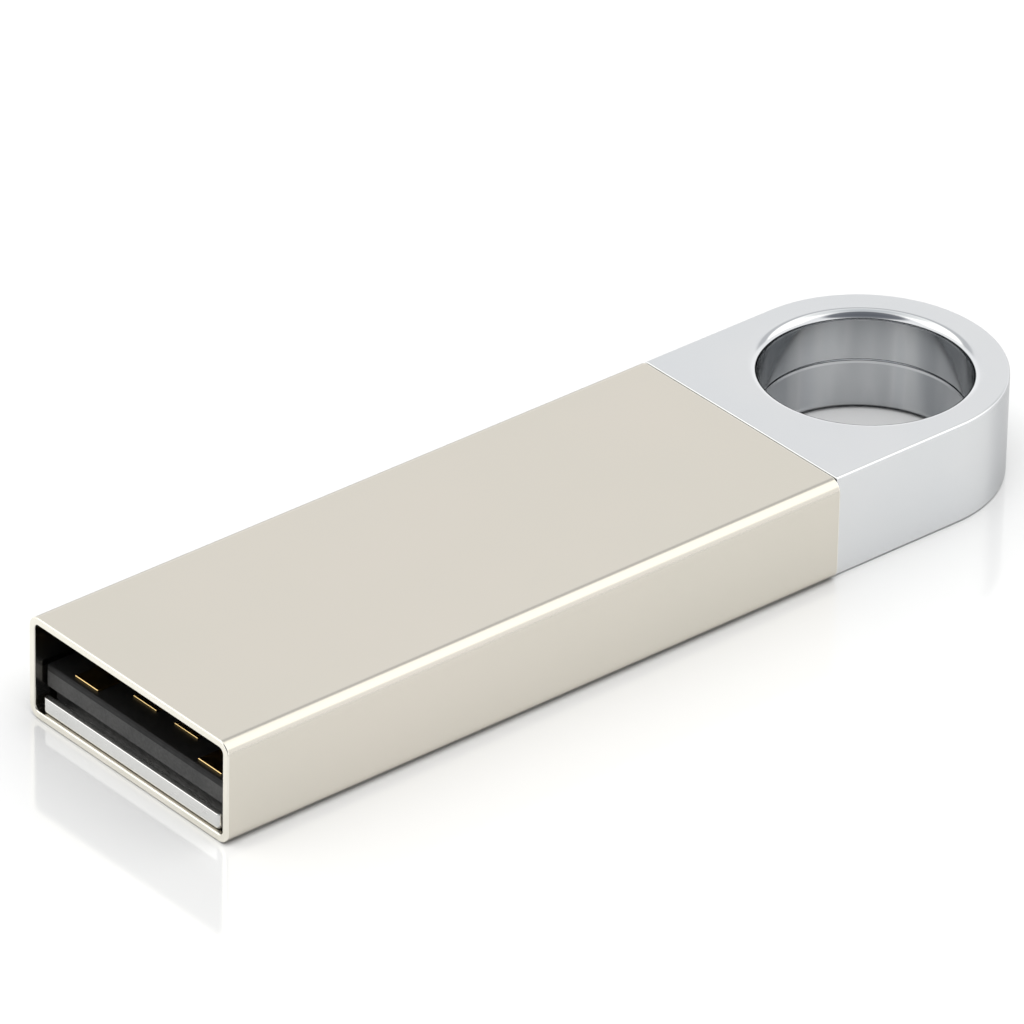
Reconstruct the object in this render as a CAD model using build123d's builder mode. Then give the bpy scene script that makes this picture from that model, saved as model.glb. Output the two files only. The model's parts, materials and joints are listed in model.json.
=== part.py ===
from build123d import *
import os

# Slim metal USB flash drive: a rectangular sleeve that is itself the plug shell,
# closed by a cast ring at the tail. Millimetres.
# +X runs from the plug mouth to the tail ring, +Y is across, +Z is up.
# The origin is at the middle of the underside's bounding box.

# ---- driving dimensions -------------------------------------------------------------
plug_width = 12.0          # outside of a Type-A plug shell
plug_height = 4.5          # outside of a Type-A plug shell
sleeve_length = 30.5
sheet = 0.33               # wall of the sleeve
sleeve_corner = 0.55       # outside radius of the sleeve's long edges
sleeve_inner_corner = sleeve_corner - sheet
sleeve_edge_break = 0.07   # polished edge at both ends of the sleeve

seam_gap = 0.04            # hairline between the sleeve and the tail ring
ring_radius = 5.7          # half the width of the tail ring
ring_reach = 6.6           # sleeve's end to the centre of the ring
ring_edge_break = 0.12
seam_edge_break = 0.07     # polished edge of the ring along the seam
hole_radius = 4.25
hole_rim = 0.4             # rounding of the hole's two rims
ridge_height = 0.03        # parting ridge round the middle of the hole
ridge_width = 0.24

spigot_length = 4.6        # tail spigot inside the sleeve
spigot_clearance = 0.05
spigot_chamfer = 0.3
glue_pocket = (3.0, 7.0, 0.12)   # along, across and deep

module_setback = 0.5       # plug mouth to the front of the memory module
module_length = 24.8
module_width = 11.0
tongue_top = 2.25          # contact side of the module, above the underside
board_thickness = 0.26
mould_thickness = 0.89
mould_bevel = 0.2
board_nose = 0.1

contact_width = 1.38
contact_pitch = 2.48       # middle to middle, even across the row
contact_row_middle = -0.28    # the row sits a little to one side of the centre line
contact_start = (1.6, 0.75)      # behind the mouth: inner contacts, outer contacts
contact_end = 8.2
contact_sunk = 0.05
contact_proud = 0.08
contact_edge = 0.035

tray_setback = 0.12
tray_sheet = 0.25
tray_clearance = 0.02
tray_width = 10.66
tray_lip_top = 1.03
tray_corner = 0.2          # plan radius of the lip's two ends
tray_bend = 0.12           # outside radius of the fold under the lip
tray_lip_edge = 0.05       # rounding of the lip's upper edge
tab_length = 1.5
tab_rise = 0.35
tab_stations = (8.0, 20.0)       # locating tabs, behind the mouth
tab_clearance = 0.1

carrier_setback = 0.9
carrier_width = 10.9
carrier_chamfer = 0.1
tape_thickness = 0.05
tape_width = 9.6
tape_setback = 1.5         # from each end of the carrier

clamp_setback = 12.3       # depth of the socket space above the tongue
clamp_width = 11.2
clamp_chamfer = 0.4
clamp_rib = 0.25           # height of its two crush ribs
clamp_rib_width = 0.8
clamp_rib_offset = 3.4

die_thickness = 0.15
die_film = 0.02
flash_die = (9.2, 7.8)     # along, across
flash_die_start = 14.3     # behind the mouth
flash_stagger = 0.7        # the second die steps back to leave the first one's pads free
controller_die = (3.4, 2.8)
controller_middle = 10.4
wire_size = 0.04
wire_loop = 0.08           # how far a wire arches clear of its die
wire_span = 0.45           # bond pad on the die to bond pad on the board
flash_wire_pitch = 0.42
flash_wire_count = 17
controller_wire_pitch = 0.3
controller_wire_count = 8

crystal_size = (2.0, 1.6, 0.5)
crystal_place = (10.4, 3.9)      # behind the mouth, from the centre line
capacitor_size = (1.0, 0.5, 0.35)
capacitor_places = ((6.2, -4.2), (7.9, -4.2), (9.6, -4.2), (11.3, -4.2), (13.2, 1.1), (13.2, -1.1))
resistor_size = (0.6, 0.3, 0.23)
resistor_places = ((6.6, 4.2), (6.6, 3.4), (7.8, 4.2), (7.8, 3.4))
bead_size = (1.6, 0.8, 0.5)
bead_place = (4.6, -4.2)

# ---- derived stations ---------------------------------------------------------------
total_length = sleeve_length + ring_reach + ring_radius
mouth_x = -total_length / 2
sleeve_end_x = mouth_x + sleeve_length
seam_x = sleeve_end_x + seam_gap
ring_x = sleeve_end_x + ring_reach
spigot_x = sleeve_end_x - spigot_length

cavity_width = plug_width - 2 * sheet
cavity_height = plug_height - 2 * sheet
cavity_floor = sheet
cavity_ceiling = plug_height - sheet
mid_height = plug_height / 2

module_x = mouth_x + module_setback
module_end_x = module_x + module_length
board_bottom = tongue_top - board_thickness
module_bottom = board_bottom - mould_thickness

tray_bottom = cavity_floor + tray_clearance
tray_floor = tray_bottom + tray_sheet
carrier_top = module_bottom - tape_thickness
controller_x = mouth_x + controller_middle

os.makedirs("parts", exist_ok=True)


def block(x_from, x_to, y_width, z_from, z_to, y_mid=0.0, mode=Mode.ADD):
    """Add or cut a block between two stations and two heights."""
    with Locations(((x_from + x_to) / 2, y_mid, z_from)):
        Box(x_to - x_from, y_width, z_to - z_from, align=(Align.CENTER, Align.CENTER, Align.MIN), mode=mode)


def hanging_chips(size, places):
    """Add chips that hang from the underside of the board, at (behind the mouth, across)."""
    length, width, height = size
    for behind_mouth, across in places:
        start = mouth_x + behind_mouth - length / 2
        block(start, start + length, width, board_bottom - height, board_bottom, across)


def wire_outline(board_at, die_at, die_face):
    """Side view of one bond wire: an arch from the board's underside over a die's edge."""
    half = wire_size / 2
    side = 1 if die_at > board_at else -1
    crown = die_face - wire_loop
    return (
        (board_at - side * half, board_bottom),
        (board_at - side * half, crown - wire_size),
        (die_at + side * half, crown - wire_size),
        (die_at + side * half, die_face),
        (die_at - side * half, die_face),
        (die_at - side * half, crown),
        (board_at + side * half, crown),
        (board_at + side * half, board_bottom),
    )


def rows(count, pitch):
    """Evenly spaced offsets about zero."""
    return [(i - (count - 1) / 2) * pitch for i in range(count)]


def finish(piece, name):
    """Label a piece and write it."""
    piece.part.label = name
    export_step(piece.part, f"parts/{name}.step")


# ---- sleeve: folded and polished sheet tube, open at both ends -------------------------
with BuildPart() as sleeve:
    with BuildSketch(Plane.YZ.offset(mouth_x)):
        with Locations((0, mid_height)):
            RectangleRounded(plug_width, plug_height, sleeve_corner)
            RectangleRounded(cavity_width, cavity_height, sleeve_inner_corner, mode=Mode.SUBTRACT)
    extrude(amount=sleeve_length)
    end_faces = sleeve.faces().filter_by(Axis.X)
    fillet([edge for face in end_faces for edge in face.edges()], sleeve_edge_break)
finish(sleeve, "sleeve")

# ---- tail ring: casting with a round keyring hole and a spigot for the sleeve ----------
with BuildPart() as tail_ring:
    with BuildSketch(Plane.XY):
        with Locations((ring_x, 0)):
            Circle(ring_radius)
        with Locations(((seam_x + ring_x) / 2, 0)):
            Rectangle(ring_x - seam_x, 2 * ring_radius)
    extrude(amount=plug_height)
    outline = tail_ring.faces().filter_by(Axis.Z).edges()
    fillet(outline.filter_by(lambda edge: edge.center().X > seam_x + ring_edge_break), ring_edge_break)
    seam_face = tail_ring.faces().filter_by(Axis.X).sort_by(Axis.X)[0]
    chamfer(seam_face.edges().filter_by(Axis.Y), seam_edge_break)
    with Locations((ring_x, 0, plug_height)):
        Hole(hole_radius)
    rims = tail_ring.edges().filter_by(GeomType.CIRCLE)
    fillet(rims.filter_by(lambda edge: abs(edge.radius - hole_radius) < 1e-4), hole_rim)
    with BuildSketch(Plane.XZ):
        with BuildLine():
            Polyline(
                (ring_x + hole_radius + ridge_height, mid_height - ridge_width / 2),
                (ring_x + hole_radius, mid_height - ridge_width / 2),
                (ring_x + hole_radius - ridge_height, mid_height - ridge_width / 6),
                (ring_x + hole_radius - ridge_height, mid_height + ridge_width / 6),
                (ring_x + hole_radius, mid_height + ridge_width / 2),
                (ring_x + hole_radius + ridge_height, mid_height + ridge_width / 2),
                close=True,
            )
        make_face()
    revolve(axis=Axis((ring_x, 0, 0), (0, 0, 1)))
    spigot_width = cavity_width - 2 * spigot_clearance
    spigot_bottom = cavity_floor + spigot_clearance
    spigot_top = cavity_ceiling - spigot_clearance
    block(spigot_x, seam_x, spigot_width, spigot_bottom, spigot_top)
    chamfer(tail_ring.faces().sort_by(Axis.X)[0].edges(), spigot_chamfer)
    corners = tail_ring.edges().filter_by(Axis.X)
    fillet(corners.filter_by(lambda edge: edge.center().X < sleeve_end_x), sleeve_inner_corner)
    glue_length, glue_width, glue_depth = glue_pocket
    glue_x = spigot_x + (spigot_length - glue_length) / 2
    for pocket_bottom in (spigot_top - glue_depth, spigot_bottom):
        block(glue_x, glue_x + glue_length, glue_width, pocket_bottom, pocket_bottom + glue_depth,
              mode=Mode.SUBTRACT)
finish(tail_ring, "tail_ring")

# ---- tail adhesive: two pads of epoxy between the spigot's pockets and the sleeve -------
with BuildPart() as tail_adhesive:
    block(glue_x, glue_x + glue_length, glue_width, spigot_top - glue_depth, cavity_ceiling)
    block(glue_x, glue_x + glue_length, glue_width, cavity_floor, spigot_bottom + glue_depth)
finish(tail_adhesive, "tail_adhesive")

# ---- plug tray: pressed stainless strip with an upturned front lip and two tabs ---------
with BuildPart() as plug_tray:
    tray_x = mouth_x + tray_setback
    block(tray_x, module_end_x, tray_width, tray_bottom, tray_floor)
    block(tray_x, tray_x + tray_sheet, tray_width, tray_bottom, tray_lip_top)
    uprights = plug_tray.edges().filter_by(Axis.Z)
    front_uprights = uprights.filter_by(lambda edge: edge.center().X < tray_x + 1e-3)
    fillet(front_uprights, tray_corner)
    front_face = plug_tray.faces().filter_by(Axis.X).sort_by(Axis.X)[0]
    fillet(front_face.edges().sort_by(Axis.Z)[0], tray_bend)
    front_face = plug_tray.faces().filter_by(Axis.X).sort_by(Axis.X)[0]
    fillet(front_face.edges().sort_by(Axis.Z)[-1], tray_lip_edge)
    for station in tab_stations:
        tab_x = mouth_x + station
        block(tab_x, tab_x + tray_sheet, tab_length, tray_floor, tray_floor + tab_rise)
finish(plug_tray, "plug_tray")

# ---- tongue carrier: moulded plate on the tray, with a window for each tab --------------
with BuildPart() as tongue_carrier:
    carrier_x = mouth_x + carrier_setback
    block(carrier_x, module_end_x, carrier_width, tray_floor, carrier_top)
    chamfer(tongue_carrier.faces().sort_by(Axis.X)[0].edges().sort_by(Axis.Z)[-1], carrier_chamfer)
    for station in tab_stations:
        window_x = mouth_x + station - tab_clearance
        window_end = window_x + tray_sheet + 2 * tab_clearance
        window_width = tab_length + 2 * tab_clearance
        block(window_x, window_end, window_width, tray_floor, carrier_top, mode=Mode.SUBTRACT)
finish(tongue_carrier, "tongue_carrier")

# ---- module tape: holds the memory module down on the carrier ---------------------------
with BuildPart() as module_tape:
    block(carrier_x + tape_setback, module_end_x - tape_setback, tape_width, carrier_top, module_bottom)
finish(module_tape, "module_tape")

# ---- contacts: gold-plated pads; the outer pair starts nearer the mouth -----------------
contacts = {
    "contact_ground": (1, 1.5),      # 1 outer or 0 inner, then pitches from the middle of the row
    "contact_data_plus": (0, 0.5),
    "contact_data_minus": (0, -0.5),
    "contact_vbus": (1, -1.5),
}
contact_parts = []
for contact_name, (outer, pitches) in contacts.items():
    with BuildPart() as contact:
        start_x = mouth_x + contact_start[outer]
        across = contact_row_middle + pitches * contact_pitch
        block(start_x, mouth_x + contact_end, contact_width, tongue_top - contact_sunk,
              tongue_top + contact_proud, across)
        fillet(contact.faces().sort_by(Axis.Z)[-1].edges(), contact_edge)
    contact_parts.append(contact.part)
    finish(contact, contact_name)

# ---- substrate board: laminate with the contacts let into its upper face ----------------
with BuildPart() as substrate_board:
    block(module_x, module_end_x, module_width, board_bottom, tongue_top)
    fillet(substrate_board.faces().sort_by(Axis.X)[0].edges().sort_by(Axis.Z)[-1], board_nose)
    for piece in contact_parts:
        add(piece, mode=Mode.SUBTRACT)
finish(substrate_board, "substrate_board")

# ---- flash dies: two thinned dies, stacked and stepped, each on its film ----------------
flash_x = mouth_x + flash_die_start
flash_length, flash_width = flash_die
flash_layers = []
flash_faces = []
for layer in range(2):
    start_x = flash_x + layer * flash_stagger
    film_top = board_bottom - layer * (die_film + die_thickness)
    die_top = film_top - die_film
    die_face = die_top - die_thickness
    with BuildPart() as flash_film:
        block(start_x, start_x + flash_length, flash_width, die_top, film_top)
    finish(flash_film, f"flash_die_film_{layer + 1}")
    with BuildPart() as flash_silicon:
        block(start_x, start_x + flash_length, flash_width, die_face, die_top)
    finish(flash_silicon, f"flash_die_{layer + 1}")
    flash_layers += [flash_film.part, flash_silicon.part]
    flash_faces.append((start_x, die_face))

# ---- controller die and its film --------------------------------------------------------
controller_length, controller_width = controller_die
controller_face = board_bottom - die_film - die_thickness
controller_start = controller_x - controller_length / 2
controller_stop = controller_x + controller_length / 2
with BuildPart() as controller_die_film:
    block(controller_start, controller_stop, controller_width, board_bottom - die_film, board_bottom)
finish(controller_die_film, "controller_die_film")

with BuildPart() as controller_silicon:
    block(controller_start, controller_stop, controller_width, controller_face, board_bottom - die_film)
finish(controller_silicon, "controller_die")

# ---- bond wires: one row per flash die, four rows round the controller ------------------
with BuildPart() as flash_bond_wires:
    for layer, (start_x, die_face) in enumerate(flash_faces):
        across = rows(flash_wire_count, flash_wire_pitch)
        shift = layer * flash_wire_pitch / 2
        board_at = flash_x - wire_span / 2 - layer * wire_span / 2
        for row in across:
            with BuildSketch(Plane.XZ.offset(-(row + shift))):
                with BuildLine():
                    Polyline(*wire_outline(board_at, start_x + wire_span / 2, die_face), close=True)
                make_face()
            extrude(amount=wire_size / 2, both=True)
finish(flash_bond_wires, "flash_bond_wires")

with BuildPart() as controller_bond_wires:
    for row in rows(controller_wire_count, controller_wire_pitch):
        for side in (-1, 1):
            rank_x = controller_x + side * controller_length / 2
            rank_y = side * controller_width / 2
            ranks = ((Plane.XZ.offset(-row), rank_x), (Plane.YZ.offset(controller_x + row), rank_y))
            for plane, edge in ranks:
                pads = (edge + side * wire_span / 2, edge - side * wire_span / 2)
                with BuildSketch(plane):
                    with BuildLine():
                        Polyline(*wire_outline(*pads, controller_face), close=True)
                    make_face()
                extrude(amount=wire_size / 2, both=True)
finish(controller_bond_wires, "controller_bond_wires")

# ---- passive parts on the underside of the board ----------------------------------------
with BuildPart() as crystal:
    hanging_chips(crystal_size, [crystal_place])
finish(crystal, "crystal")

with BuildPart() as capacitors:
    hanging_chips(capacitor_size, capacitor_places)
finish(capacitors, "capacitors")

with BuildPart() as resistors:
    hanging_chips(resistor_size, resistor_places)
finish(resistors, "resistors")

with BuildPart() as ferrite_bead:
    hanging_chips(bead_size, [bead_place])
finish(ferrite_bead, "ferrite_bead")

# ---- mould compound: epoxy cast over the dies, wires and chips --------------------------
with BuildPart() as mould_compound:
    block(module_x, module_end_x, module_width, module_bottom, board_bottom)
    front_face = mould_compound.faces().sort_by(Axis.X)[0]
    chamfer(front_face.edges().sort_by(Axis.Z)[0], mould_bevel)
    encased = flash_layers + [
        controller_die_film.part, controller_silicon.part, flash_bond_wires.part,
        controller_bond_wires.part, crystal.part, capacitors.part, resistors.part, ferrite_bead.part,
    ]
    for piece in encased:
        add(piece, mode=Mode.SUBTRACT)
finish(mould_compound, "mould_compound")

# ---- module clamp: plastic insert that presses the module down and ends the socket space
with BuildPart() as module_clamp:
    clamp_x = mouth_x + clamp_setback
    clamp_end = spigot_x - spigot_clearance
    clamp_top = cavity_ceiling - clamp_rib
    block(clamp_x, clamp_end, clamp_width, tongue_top, clamp_top)
    chamfer(module_clamp.faces().sort_by(Axis.X)[0].edges().sort_by(Axis.Z)[-1], clamp_chamfer)
    for side in (-1, 1):
        block(clamp_x + clamp_rib_width, clamp_end - clamp_rib_width, clamp_rib_width,
              clamp_top, cavity_ceiling, side * clamp_rib_offset)
finish(module_clamp, "module_clamp")
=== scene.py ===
import json
import math

import bpy
from mathutils import Matrix, Vector


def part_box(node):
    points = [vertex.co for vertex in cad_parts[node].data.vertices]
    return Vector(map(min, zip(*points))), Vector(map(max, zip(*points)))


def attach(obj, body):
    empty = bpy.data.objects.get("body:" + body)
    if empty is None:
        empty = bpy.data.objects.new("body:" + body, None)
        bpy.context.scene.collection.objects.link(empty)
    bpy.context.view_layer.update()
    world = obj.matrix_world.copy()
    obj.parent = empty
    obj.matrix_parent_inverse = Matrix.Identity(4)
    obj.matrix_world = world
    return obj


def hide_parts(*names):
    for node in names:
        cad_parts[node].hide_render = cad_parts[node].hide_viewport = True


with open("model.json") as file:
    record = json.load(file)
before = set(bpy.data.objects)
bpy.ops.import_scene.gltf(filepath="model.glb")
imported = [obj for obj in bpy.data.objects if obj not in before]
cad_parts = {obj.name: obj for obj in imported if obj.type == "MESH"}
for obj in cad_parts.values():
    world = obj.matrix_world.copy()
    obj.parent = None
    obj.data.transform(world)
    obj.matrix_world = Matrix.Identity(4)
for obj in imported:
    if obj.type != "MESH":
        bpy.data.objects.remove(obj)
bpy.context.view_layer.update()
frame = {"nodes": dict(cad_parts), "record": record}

MM = 0.001

# studio surround, as (position, colour) stops over the looked-at direction
OVERHEAD_STOPS = (                     # by height: even, then dimmer overhead
    (-1.0, (1.0, 1.0, 1.0)), (0.82, (1.0, 1.0, 1.0)), (0.93, (0.62, 0.63, 0.65)), (1.0, (0.42, 0.44, 0.47)))
SIDE_STOPS = (                         # by depth: side lights, a dark gap, then a white sheet behind
    (-1.0, (0.85, 0.86, 0.88)), (-0.50, (0.95, 0.95, 0.96)), (-0.26, (1.48, 1.47, 1.42)),
    (0.38, (1.48, 1.47, 1.42)), (0.50, (0.60, 0.61, 0.62)), (0.64, (0.60, 0.61, 0.62)),
    (0.76, (0.915, 0.915, 0.915)), (1.0, (0.915, 0.915, 0.915)))
CAMERA_STOPS = (                       # by angle to the camera's own corner, which is unlit
    (-1.0, (1.0, 1.0, 1.0)), (0.74, (1.0, 1.0, 1.0)), (0.86, (0.22, 0.23, 0.25)), (1.0, (0.16, 0.17, 0.19)))
BEHIND = (0.64, 0.77, 0.0)
CAMERA_CORNER = (-0.52, -0.61, 0.60)
SIDE_LIGHT_FOOT = (0.30, 0.44)         # heights between which the side lights come in
STUDIO_STRENGTH = 1.28

FILL_PLACE = (-0.14, -0.22, 0.88)
FILL_SIZE = 0.80
FILL_POWER = 8.7

CAMERA_PLACE = (-239.704, -274.868, 225.708)       # millimetres
CAMERA_ANGLES = (-40.79, 31.334, 1.214)            # azimuth, elevation and roll, in degrees
LENS, SENSOR = 388.61, 36.0


# ---------------------------------------------------------------- sizes from the frame
def node_box(name):
    """Lowest and highest corner of a CAD node, in metres."""
    low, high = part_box(name)
    return Vector(low), Vector(high)


SLEEVE_LOW, SLEEVE_HIGH = node_box("sleeve")
RING_LOW, RING_HIGH = node_box("tail_ring")

SHEET = 0.33 * MM                      # wall of the sleeve
SLEEVE_CORNER = 0.55 * MM              # outside radius of its long edges
SLEEVE_EDGE = 0.07 * MM                # polished edge at both of its ends
SEAM_GAP = 0.04 * MM                   # hairline between the sleeve and the ring
SEAM_EDGE = 0.07 * MM                  # polished edge of the ring along the seam
RING_EDGE = 0.12 * MM                  # broken edge round the rest of the ring
HOLE_RADIUS = 4.25 * MM
HOLE_RIM = 0.4 * MM                    # rounding of the hole's two rims
RIDGE_HEIGHT = 0.03 * MM               # parting ridge round the middle of the hole
RIDGE_WIDTH = 0.24 * MM

RING_RADIUS = RING_HIGH.y
RING_X = RING_HIGH.x - RING_RADIUS
SEAM_X = SLEEVE_HIGH.x + SEAM_GAP
HEIGHT = SLEEVE_HIGH.z

# facets of the two meshes
LONG_STEPS = 24                        # along the sleeve, and across the seam
EDGE_STEPS = 8                         # round a broken edge
SEAM_EDGE_STEPS = 6
STRAIGHT_STEPS = 12                    # along the ring's straight sides
ROUND_STEPS = 96                       # round the ring's outer half circle
HOLE_STEPS = 192
RIM_STEPS = 14
WALL_STEPS = 6                         # bore wall on each side of the ridge
RIDGE_STEPS = 12

# material slots of the two meshes
# slot 1 is the sleeve's ends, whose lighter colour is partly bare cut steel and partly a painted highlight
SLEEVE_FACE, SLEEVE_CUT_AND_HIGHLIGHT = 0, 1
# slot 2, the bore, carries painted shade and painted reflection streaks
RING_SATIN, RING_POLISHED, RING_BORE_PAINTED_SHADE = 0, 1, 2


# ---------------------------------------------------------------- mesh making
WELD = 1e-4 * MM                       # points this close are one
NO_AREA = 1e-16


class Skin:
    """Quads and polygons gathered with exact normals, and welded where their corners meet."""

    def __init__(self):
        self.points, self.index, self.faces, self.normals, self.slots = [], {}, [], [], []

    def vertex(self, point):
        key = tuple(round(value / WELD) for value in point)
        if key not in self.index:
            self.index[key] = len(self.points)
            self.points.append(tuple(point))
        return self.index[key]

    def face(self, corners, slot=0):
        """corners is a list of (point, normal)."""
        ids, normals = [], []
        for point, normal in corners:
            i = self.vertex(point)
            if i not in ids:
                ids.append(i)
                normals.append(tuple(Vector(normal).normalized()))
        if len(ids) > 2:
            self.faces.append(ids)
            self.normals += normals
            self.slots.append(slot)

    def grid(self, rows, slot=0, close_rows=False):
        """rows[i][j] is (point, normal); neighbours are joined by quads."""
        n, m = len(rows), len(rows[0])
        for i in range(n if close_rows else n - 1):
            for j in range(m - 1):
                a, b = rows[i][j], rows[(i + 1) % n][j]
                c, d = rows[(i + 1) % n][j + 1], rows[i][j + 1]
                facing = (Vector(b[0]) - Vector(a[0])).cross(Vector(d[0]) - Vector(a[0]))
                if facing.length < NO_AREA:
                    facing = (Vector(c[0]) - Vector(b[0])).cross(Vector(d[0]) - Vector(b[0]))
                quad = [a, b, c, d]
                if facing.dot(Vector(a[1]) + Vector(c[1])) < 0:
                    quad.reverse()
                self.face(quad, slot)

    def build(self, name, materials):
        mesh = bpy.data.meshes.new(name)
        mesh.from_pydata(self.points, [], self.faces)
        for material in materials:
            mesh.materials.append(material)
        mesh.polygons.foreach_set("material_index", self.slots)
        mesh.polygons.foreach_set("use_smooth", [True] * len(self.faces))
        mesh.update()
        mesh.normals_split_custom_set(self.normals)
        piece = bpy.data.objects.new(name, mesh)
        bpy.context.scene.collection.objects.link(piece)
        return piece


def spread(first, last, count):
    """count + 1 evenly spaced values."""
    return [first + (last - first) * i / count for i in range(count + 1)]


def turned(first, last, steps):
    """(cosine, sine) at evenly spaced angles in degrees."""
    return [(math.cos(math.radians(a)), math.sin(math.radians(a))) for a in spread(first, last, steps)]


def rounded_loop(half_width, half_height, radius, steps=16):
    """A rounded rectangle as (y, z, normal y, normal z), centred on zero, at zero inset."""
    loop = []
    for quarter in range(4):
        side_y = 1 if quarter in (0, 3) else -1
        side_z = 1 if quarter in (0, 1) else -1
        for i in range(steps + 1):
            angle = math.radians(90 * (quarter + i / steps))
            cos, sin = math.cos(angle), math.sin(angle)
            loop.append((side_y * (half_width - radius) + radius * cos,
                         side_z * (half_height - radius) + radius * sin, cos, sin))
    return loop


# ---------------------------------------------------------------- sleeve
def make_sleeve(materials):
    """The rounded tube: one wall profile, rounded at both ends, carried round the loop."""
    middle = HEIGHT / 2
    loop = rounded_loop(SLEEVE_HIGH.y, middle, SLEEVE_CORNER)
    low, high, edge = SLEEVE_LOW.x, SLEEVE_HIGH.x, SLEEVE_EDGE

    def arc(centre_x, centre_inset, first, last):
        """(x, inset, normal x, normal outwards) round one edge; 0 degrees is +X, 90 outwards."""
        return [(centre_x + edge * cos, centre_inset - edge * sin, cos, sin)
                for cos, sin in turned(first, last, EDGE_STEPS)]

    stations = spread(low + edge, high - edge, LONG_STEPS)
    outer_face = [(x, 0.0, 0.0, 1.0) for x in stations]
    inner_face = [(x, SHEET, 0.0, -1.0) for x in reversed(stations)]
    tail_end = arc(high - edge, edge, 90, 0) + arc(high - edge, SHEET - edge, 0, -90)
    mouth_end = arc(low + edge, SHEET - edge, -90, -180) + arc(low + edge, edge, 180, 90)
    skin = Skin()
    wall = ((SLEEVE_FACE, outer_face), (SLEEVE_CUT_AND_HIGHLIGHT, tail_end),
            (SLEEVE_FACE, inner_face), (SLEEVE_CUT_AND_HIGHLIGHT, mouth_end))
    for slot, profile in wall:
        rows = [[((x, y - ny * inset, middle + z - nz * inset), (nx, ny * out, nz * out))
                 for x, inset, nx, out in profile] for y, z, ny, nz in loop]
        skin.grid(rows, slot, close_rows=True)
    return skin.build("sleeve_shell", materials)


# ---------------------------------------------------------------- tail ring
def ring_outline():
    """The ring's outline from the seam's -Y corner to its +Y corner: (x, y, normal x, normal y)."""
    start = SEAM_X + SEAM_EDGE
    outline = [(x, -RING_RADIUS, 0.0, -1.0) for x in spread(start, RING_X, STRAIGHT_STEPS)[:-1]]
    for cos, sin in turned(-90, 90, ROUND_STEPS):
        outline.append((RING_X + RING_RADIUS * cos, RING_RADIUS * sin, cos, sin))
    outline += [(x, RING_RADIUS, 0.0, 1.0) for x in spread(RING_X, start, STRAIGHT_STEPS)[1:]]
    return outline


def bore_profile():
    """The hole from bottom to top, as (radius, z, normal inwards, normal up): rims, wall and ridge."""
    rim, radius, middle = HOLE_RIM, HOLE_RADIUS, HEIGHT / 2
    bore = [(radius + rim - rim * cos, rim + rim * sin, cos, sin) for cos, sin in turned(-90, 0, RIM_STEPS)]
    for z in spread(rim, middle - RIDGE_WIDTH / 2, WALL_STEPS)[1:]:
        bore.append((radius, z, 1.0, 0.0))
    for i in range(1, RIDGE_STEPS):
        turn = math.pi * 2 * i / RIDGE_STEPS
        slope = RIDGE_HEIGHT * math.pi / RIDGE_WIDTH * math.sin(turn)
        rise = RIDGE_HEIGHT * (1 - math.cos(turn)) / 2
        bore.append((radius - rise, middle + RIDGE_WIDTH * (i / RIDGE_STEPS - 0.5), 1.0, -slope))
    for z in spread(middle + RIDGE_WIDTH / 2, HEIGHT - rim, WALL_STEPS):
        bore.append((radius, z, 1.0, 0.0))
    for cos, sin in turned(0, 90, RIM_STEPS)[1:]:
        bore.append((radius + rim - rim * cos, HEIGHT - rim + rim * sin, cos, sin))
    return bore


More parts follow.
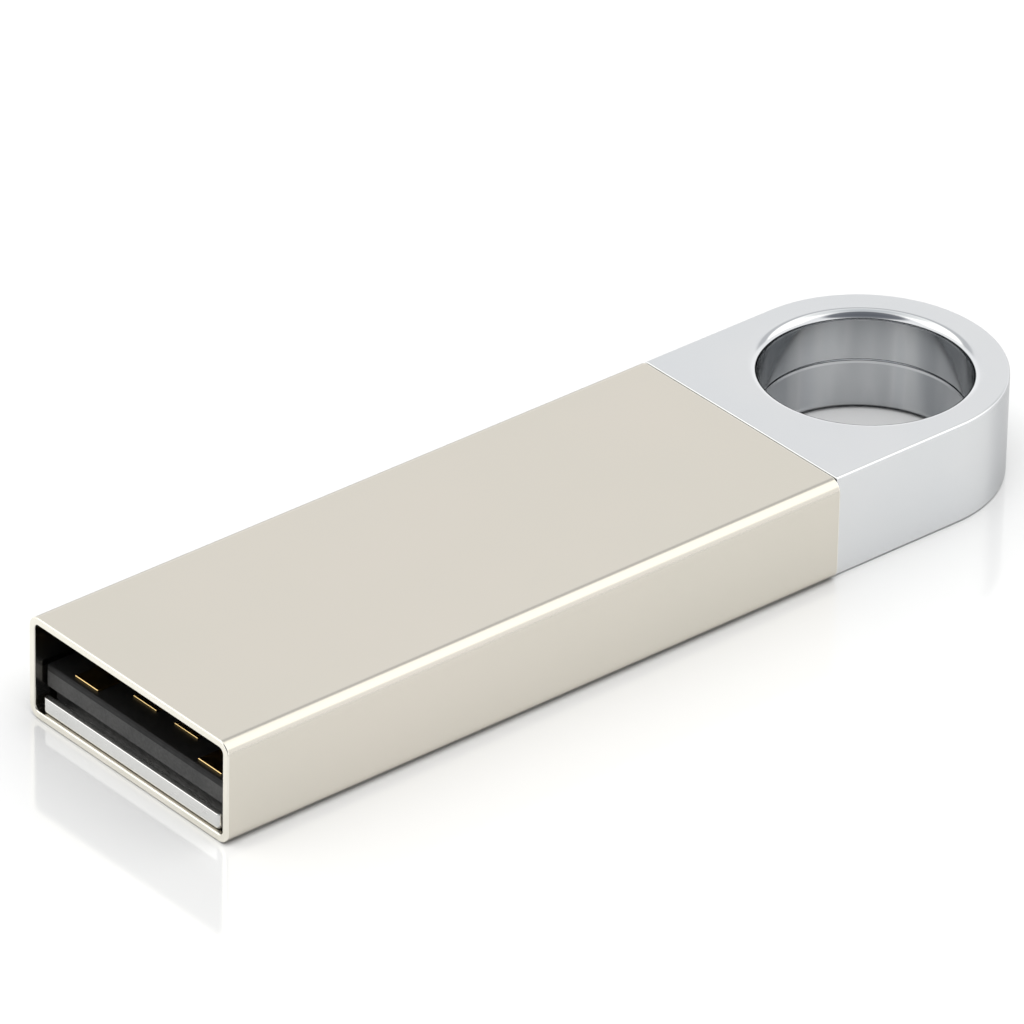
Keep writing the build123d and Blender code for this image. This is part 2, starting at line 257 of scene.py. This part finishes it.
def make_ring(materials):
    """The tail: outer wall with broken edges, two flat faces, seam face and the hole, polished at its upper
    rim and ridge, with painted shade on its wall and lower rim.
    """
    skin = Skin()
    outline = ring_outline()
    edge = RING_EDGE
    wall = []                                      # (inset, z, normal outwards, normal up)
    for cos, sin in turned(-90, 0, EDGE_STEPS):
        wall.append((edge - edge * cos, edge + edge * sin, cos, sin))
    for cos, sin in turned(0, 90, EDGE_STEPS):
        wall.append((edge - edge * cos, HEIGHT - edge + edge * sin, cos, sin))

    def wall_row(x, y, nx, ny, lean=0.0):
        """The wall's profile at one station, lowered where it runs into the broken edge along the seam."""
        drop = SEAM_EDGE * (1 - math.cos(lean))
        row = []
        for inset, z, out, up in wall:
            height = min(max(z, drop), HEIGHT - drop)
            side = 1 if z > HEIGHT / 2 else -1
            broken = (-math.sin(lean), 0, side * math.cos(lean))
            normal = (nx * out, ny * out, up) if height == z else broken
            row.append(((x - nx * inset, y - ny * inset, height), normal))
        return row

    leans = [math.radians(angle) for angle in spread(90, 0, SEAM_EDGE_STEPS)]
    seam_stations = [(SEAM_X + SEAM_EDGE * (1 - math.sin(lean)), lean) for lean in leans[:-1]]
    near_end = [wall_row(x, -RING_RADIUS, 0, -1, lean) for x, lean in seam_stations]
    far_end = [wall_row(x, RING_RADIUS, 0, 1, lean) for x, lean in reversed(seam_stations)]
    rows = [wall_row(*station) for station in outline]
    skin.grid(near_end + rows + far_end)

    # the broken edge along the seam, above and below
    half_seam = RING_RADIUS - edge
    for side in (1, -1):
        strip = []
        for lean in leans:
            x = SEAM_X + SEAM_EDGE * (1 - math.sin(lean))
            drop = SEAM_EDGE * (1 - math.cos(lean))
            z = HEIGHT - drop if side > 0 else drop
            strip.append([((x, y, z), (-math.sin(lean), 0, side * math.cos(lean)))
                          for y in spread(half_seam, -half_seam, LONG_STEPS)])
        skin.grid(strip, RING_POLISHED)

    # the hole
    bore = bore_profile()
    rounds = []
    for i in range(HOLE_STEPS):
        angle = 2 * math.pi * i / HOLE_STEPS
        cos, sin = math.cos(angle), math.sin(angle)
        rounds.append([((RING_X + r * cos, r * sin, z), (-inward * cos, -inward * sin, up))
                       for r, z, inward, up in bore])
    ridge_foot = RIM_STEPS + WALL_STEPS
    ridge_end = ridge_foot + RIDGE_STEPS
    rim_start, top = ridge_end + WALL_STEPS, len(bore) - 1
    # the wall and the lower rim take the bore material, darkened with painted shade and painted reflection
    # streaks; the ridge and the upper rim keep the polished chrome
    stretches = ((RING_BORE_PAINTED_SHADE, 0, ridge_foot), (RING_POLISHED, ridge_foot, ridge_end),
                 (RING_BORE_PAINTED_SHADE, ridge_end, rim_start), (RING_POLISHED, rim_start, top))
    for slot, first, last in stretches:
        skin.grid([row[first:last + 1] for row in rounds], slot, close_rows=True)

    # flat faces between the hole's rims and the outline
    def flat(z, up):
        end = -1 if up > 0 else 0
        inner = [row[end][0] for row in rounds]
        outer = [row[end][0] for row in rows]
        seam = [(outer[-1][0], y, z) for y in spread(outer[-1][1], outer[0][1], LONG_STEPS)[1:-1]]
        ring = outer + seam

        def bearing(point):
            return math.atan2(point[1], point[0] - RING_X) % (2 * math.pi)

        ring.sort(key=bearing)
        inner.sort(key=bearing)
        normal = (0, 0, up)
        i = j = 0
        while i < len(inner) or j < len(ring):
            a, b = inner[i % len(inner)], ring[j % len(ring)]
            next_a, next_b = inner[(i + 1) % len(inner)], ring[(j + 1) % len(ring)]
            turn_a = bearing(next_a) + (2 * math.pi if i + 1 >= len(inner) else 0)
            turn_b = bearing(next_b) + (2 * math.pi if j + 1 >= len(ring) else 0)
            step_inner = j >= len(ring) or (i < len(inner) and turn_a <= turn_b)
            third = next_a if step_inner else next_b
            corners = [(a, normal), (b, normal), (third, normal)]
            if (Vector(b) - Vector(a)).cross(Vector(third) - Vector(a)).z * up < 0:
                corners.reverse()
            skin.face(corners)
            if step_inner:
                i += 1
            else:
                j += 1

    flat(HEIGHT, 1)
    flat(0.0, -1)

    # the seam face closes the casting behind the sleeve's end
    across = spread(half_seam, -half_seam, LONG_STEPS)[1:-1]
    border = [point for point, _ in far_end[-1]]
    border += [(SEAM_X, y, HEIGHT - SEAM_EDGE) for y in across]
    border += [point for point, _ in reversed(near_end[0])]
    border += [(SEAM_X, y, SEAM_EDGE) for y in reversed(across)]
    skin.face([(point, (-1, 0, 0)) for point in reversed(border)])
    return skin.build("tail_ring_casting", materials)


# ---------------------------------------------------------------- materials
COLOUR_RANGE = (0.35, 0.65)            # noise values that a material's colours and roughness span
ROUGHNESS_RANGE = (0.3, 0.7)


def new_material(name):
    material = bpy.data.materials.new(name)
    material.use_nodes = True
    nodes = material.node_tree.nodes
    shader = nodes["Principled BSDF"]
    return material, nodes, material.node_tree.links, shader


def noise(nodes, links, scale, detail, stretch=(1, 1, 1)):
    """Noise over object coordinates in millimetres, stretched by stretch."""
    where = nodes.new("ShaderNodeTexCoord")
    mapping = nodes.new("ShaderNodeMapping")
    mapping.inputs["Scale"].default_value = [value / MM for value in stretch]
    links.new(where.outputs["Object"], mapping.inputs["Vector"])
    texture = nodes.new("ShaderNodeTexNoise")
    texture.inputs["Scale"].default_value = scale
    texture.inputs["Detail"].default_value = detail
    texture.inputs["Roughness"].default_value = 0.5
    links.new(mapping.outputs["Vector"], texture.inputs["Vector"])
    return texture.outputs["Fac"]


def ramp(nodes, links, value, stops):
    """Colours spread evenly over the middle of the noise's range."""
    low, high = COLOUR_RANGE
    node = nodes.new("ShaderNodeValToRGB")
    elements = node.color_ramp.elements
    while len(elements) < len(stops):
        elements.new(0.5)
    for i, colour in enumerate(stops):
        elements[i].position = low + (high - low) * i / max(1, len(stops) - 1)
        elements[i].color = (*colour, 1.0)
    links.new(value, node.inputs["Fac"])
    return node.outputs["Color"]


def remap(nodes, links, value, low, high, from_low, from_high):
    """The input's range from_low to from_high, carried to low to high."""
    node = nodes.new("ShaderNodeMapRange")
    node.inputs["From Min"].default_value = from_low
    node.inputs["From Max"].default_value = from_high
    node.inputs["To Min"].default_value = low
    node.inputs["To Max"].default_value = high
    links.new(value, node.inputs["Value"])
    return node.outputs["Result"]


def bump(nodes, links, shader, value, depth_mm):
    node = nodes.new("ShaderNodeBump")
    node.inputs["Strength"].default_value = 1.0
    node.inputs["Distance"].default_value = depth_mm * MM
    links.new(value, node.inputs["Height"])
    links.new(node.outputs["Normal"], shader.inputs["Normal"])


def metal(name, colours, rough, cloud=0.12, grain=6.0, stretch=(1, 1, 1), depth=0.0004,
          cloud_stretch=(1, 1, 1), edge_tint=1.0):
    """A plated or bare metal: clouded colour, fine grain, and edge_tint for its glancing reflection."""
    material, nodes, links, shader = new_material(name)
    shader.inputs["Metallic"].default_value = 1.0
    shader.inputs["Specular Tint"].default_value = (edge_tint, edge_tint, edge_tint, 1)
    clouds = noise(nodes, links, cloud, 3.0, cloud_stretch)
    fine = noise(nodes, links, grain, 4.0, stretch)
    links.new(ramp(nodes, links, clouds, colours), shader.inputs["Base Color"])
    links.new(remap(nodes, links, fine, *rough, *ROUGHNESS_RANGE), shader.inputs["Roughness"])
    bump(nodes, links, shader, fine, depth)
    return material


def moulded(name, colours, rough, grain=5.0, depth=0.002, specular=0.5):
    """A moulded or coated plastic: mottled colour and a fine texture."""
    material, nodes, links, shader = new_material(name)
    shader.inputs["Specular IOR Level"].default_value = specular
    mottle = noise(nodes, links, 0.6, 4.0)
    fine = noise(nodes, links, grain, 5.0)
    links.new(ramp(nodes, links, mottle, colours), shader.inputs["Base Color"])
    links.new(remap(nodes, links, fine, *rough, *ROUGHNESS_RANGE), shader.inputs["Roughness"])
    bump(nodes, links, shader, fine, depth)
    return material


def make_materials():
    made = {}
    made["champagne_steel"] = metal(
        "champagne_steel", [(0.616, 0.580, 0.518), (0.603, 0.574, 0.511)],
        (0.155, 0.185), cloud=0.10, grain=14.0, stretch=(0.12, 1, 1), depth=0.00002, edge_tint=0.75)
    # the sleeve's ends: lighter than the sleeve's own colour, partly the bare cut steel and partly a
    # painted highlight on the lips
    made["cut_edge_and_highlight"] = metal(
        "cut_edge_and_highlight", [(0.80, 0.775, 0.69), (0.84, 0.81, 0.735)], (0.14, 0.22), cloud=0.5, grain=10.0,
        depth=0.00003)
    made["satin_chrome"] = metal(
        "satin_chrome", [(0.628, 0.643, 0.660), (0.648, 0.657, 0.668)], (0.24, 0.27), cloud=0.15,
        grain=6.0, depth=0.00002, edge_tint=0.72)
    made["polished_chrome"] = metal(
        "polished_chrome", [(0.60, 0.61, 0.625), (0.64, 0.65, 0.66)], (0.07, 0.11), cloud=0.35,
        grain=9.0, depth=0.00003)
    # the hole's wall and lower rim: a base colour darker than the ring's chrome, which is painted shade of
    # the recess, with streaky blue-grey clouds that are painted reflections
    made["bore_painted_shade_and_reflection"] = metal(
        "bore_painted_shade_and_reflection", [(0.33, 0.345, 0.36), (0.47, 0.48, 0.49), (0.37, 0.39, 0.42)], (0.10, 0.20),
        cloud=0.32, cloud_stretch=(1, 1, 0.15), grain=0.8, stretch=(1, 1, 0.10), depth=0.0)
    made["stainless_strip"] = metal(
        "stainless_strip", [(0.66, 0.66, 0.65), (0.73, 0.73, 0.72)], (0.20, 0.28), grain=14.0,
        stretch=(1, 0.12, 1), depth=0.00006)
    made["contact_gold"] = metal(
        "contact_gold", [(0.90, 0.62, 0.24), (0.96, 0.70, 0.32)], (0.12, 0.22))
    made["bond_gold"] = metal("bond_gold", [(0.95, 0.72, 0.35), (0.98, 0.78, 0.42)], (0.15, 0.25))
    made["crystal_can"] = metal("crystal_can", [(0.72, 0.70, 0.64), (0.78, 0.76, 0.70)], (0.2, 0.32))
    made["silicon"] = metal("silicon", [(0.30, 0.31, 0.36), (0.36, 0.37, 0.42)], (0.08, 0.16))
    made["carrier_plastic"] = moulded(
        "carrier_plastic", [(0.008, 0.008, 0.009), (0.013, 0.013, 0.014)], (0.35, 0.5))
    made["clamp_plastic"] = moulded(
        "clamp_plastic", [(0.010, 0.010, 0.011), (0.016, 0.016, 0.018)], (0.4, 0.55))
    made["adhesive_tape"] = moulded("adhesive_tape", [(0.02, 0.02, 0.02), (0.03, 0.03, 0.03)], (0.5, 0.7))
    made["adhesive_epoxy"] = moulded(
        "adhesive_epoxy", [(0.40, 0.32, 0.16), (0.50, 0.42, 0.24)], (0.15, 0.3), grain=2.0)
    made["board_laminate"] = moulded(
        "board_laminate", [(0.007, 0.007, 0.007), (0.011, 0.011, 0.011)], (0.40, 0.55), grain=3.0,
        depth=0.001, specular=0.2)
    made["mould_epoxy"] = moulded(
        "mould_epoxy", [(0.028, 0.028, 0.028), (0.046, 0.045, 0.044)], (0.45, 0.62), grain=8.0, depth=0.004)
    made["die_film"] = moulded("die_film", [(0.30, 0.22, 0.09), (0.38, 0.29, 0.13)], (0.3, 0.45))
    made["capacitor_ceramic"] = moulded(
        "capacitor_ceramic", [(0.30, 0.17, 0.08), (0.38, 0.23, 0.12)], (0.4, 0.55))
    made["resistor_ceramic"] = moulded(
        "resistor_ceramic", [(0.015, 0.015, 0.018), (0.03, 0.03, 0.034)], (0.25, 0.4))
    made["ferrite"] = moulded("ferrite", [(0.04, 0.04, 0.042), (0.06, 0.06, 0.062)], (0.35, 0.5))
    return made


# ---------------------------------------------------------------- stage, light and camera
FLOOR_SIZE = 1.2
FLOOR_DROP = 0.01 * MM                 # keeps the floor from sharing the underside's plane


def make_floor():
    half = FLOOR_SIZE / 2
    corners = [(-half, -half, 0), (half, -half, 0), (half, half, 0), (-half, half, 0)]
    mesh = bpy.data.meshes.new("floor")
    mesh.from_pydata(corners, [], [(0, 1, 2, 3)])
    floor = bpy.data.objects.new("floor", mesh)
    bpy.context.scene.collection.objects.link(floor)
    floor.location.z = -FLOOR_DROP
    material, _, _, shader = new_material("floor_white")
    shader.inputs["Base Color"].default_value = (0.56, 0.56, 0.56, 1)
    shader.inputs["Roughness"].default_value = 0.10
    shader.inputs["IOR"].default_value = 1.9
    mesh.materials.append(material)


def make_world():
    """A white surround with a soft light on each side, dimmer overhead and in the camera's corner."""
    world = bpy.data.worlds.new("studio")
    bpy.context.scene.world = world
    world.use_nodes = True
    nodes, links = world.node_tree.nodes, world.node_tree.links
    background = nodes["Background"]
    where = nodes.new("ShaderNodeTexCoord")

    def toward(direction):
        """Dot product of the looked-at direction with one direction."""
        dot = nodes.new("ShaderNodeVectorMath")
        dot.operation = "DOT_PRODUCT"
        dot.inputs[1].default_value = Vector(direction).normalized()
        links.new(where.outputs["Generated"], dot.inputs[0])
        return dot.outputs["Value"]

    def shade(value, stops):
        """Colour by position, from stops over -1 to 1."""
        spread_out = remap(nodes, links, value, 0.0, 1.0, -1.0, 1.0)
        node = nodes.new("ShaderNodeValToRGB")
        elements = node.color_ramp.elements
        node.color_ramp.interpolation = "EASE"
        while len(elements) < len(stops):
            elements.new(0.5)
        for element, (position, colour) in zip(elements, stops):
            element.position = (position + 1) / 2
            element.color = (*colour, 1)
        links.new(spread_out, node.inputs["Fac"])
        return node.outputs["Color"]

    def multiply(first, second, factor=None):
        node = nodes.new("ShaderNodeMix")
        node.data_type = "RGBA"
        node.blend_type = "MULTIPLY"
        node.inputs["Factor"].default_value = 1.0
        if factor:
            links.new(factor, node.inputs["Factor"])
        links.new(first, node.inputs["A"])
        links.new(second, node.inputs["B"])
        return node.outputs["Result"]

    height = toward((0, 0, 1))
    overhead = shade(height, OVERHEAD_STOPS)
    corner = shade(toward(CAMERA_CORNER), CAMERA_STOPS)
    sides = shade(toward(BEHIND), SIDE_STOPS)
    above_foot = remap(nodes, links, height, 0.0, 1.0, *SIDE_LIGHT_FOOT)
    surround = multiply(multiply(overhead, corner), sides, above_foot)
    links.new(surround, background.inputs["Color"])
    background.inputs["Strength"].default_value = STUDIO_STRENGTH


def make_fill():
    """A large soft light, high over the near side, that shapes the shadows but isn't mirrored."""
    data = bpy.data.lights.new("overhead_fill", "AREA")
    data.shape = "RECTANGLE"
    data.size = data.size_y = FILL_SIZE
    data.energy = FILL_POWER
    light = bpy.data.objects.new("overhead_fill", data)
    bpy.context.scene.collection.objects.link(light)
    light.location = FILL_PLACE
    light.rotation_euler = (-Vector(FILL_PLACE)).to_track_quat("-Z", "Y").to_euler()
    light.visible_glossy = False


def make_camera():
    """A long lens, low from the front left, with a slight roll."""
    azimuth, elevation, roll = (math.radians(a) for a in CAMERA_ANGLES)
    back = Vector((math.sin(azimuth) * math.cos(elevation), -math.cos(azimuth) * math.cos(elevation),
                   math.sin(elevation)))
    level = Vector((math.cos(azimuth), math.sin(azimuth), 0))
    above = back.cross(level)
    right = math.cos(roll) * level + math.sin(roll) * above
    up = -math.sin(roll) * level + math.cos(roll) * above
    data = bpy.data.cameras.new("camera")
    data.sensor_width = SENSOR
    data.lens = LENS
    data.clip_start = 0.01
    data.clip_end = 10.0
    camera = bpy.data.objects.new("camera", data)
    bpy.context.scene.collection.objects.link(camera)
    x, y, z = (value * MM for value in CAMERA_PLACE)
    camera.matrix_world = Matrix((
        (right.x, up.x, back.x, x), (right.y, up.y, back.y, y), (right.z, up.z, back.z, z), (0, 0, 0, 1)))
    bpy.context.scene.camera = camera


# ---------------------------------------------------------------- putting it together
make_camera()
materials = make_materials()
slots = {row["node"]: row["material_slot"] for row in frame["record"]["subparts"]}
for node_name, node in frame["nodes"].items():
    node.data.materials.clear()
    node.data.materials.append(materials[slots[node_name]])

sleeve = make_sleeve([materials["champagne_steel"], materials["cut_edge_and_highlight"]])
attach(sleeve, "root")
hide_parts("sleeve")

ring = make_ring([materials["satin_chrome"], materials["polished_chrome"], materials["bore_painted_shade_and_reflection"]])
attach(ring, "root")
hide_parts("tail_ring")

make_floor()
make_world()
make_fill()
bpy.context.scene.view_settings.view_transform = "Standard"
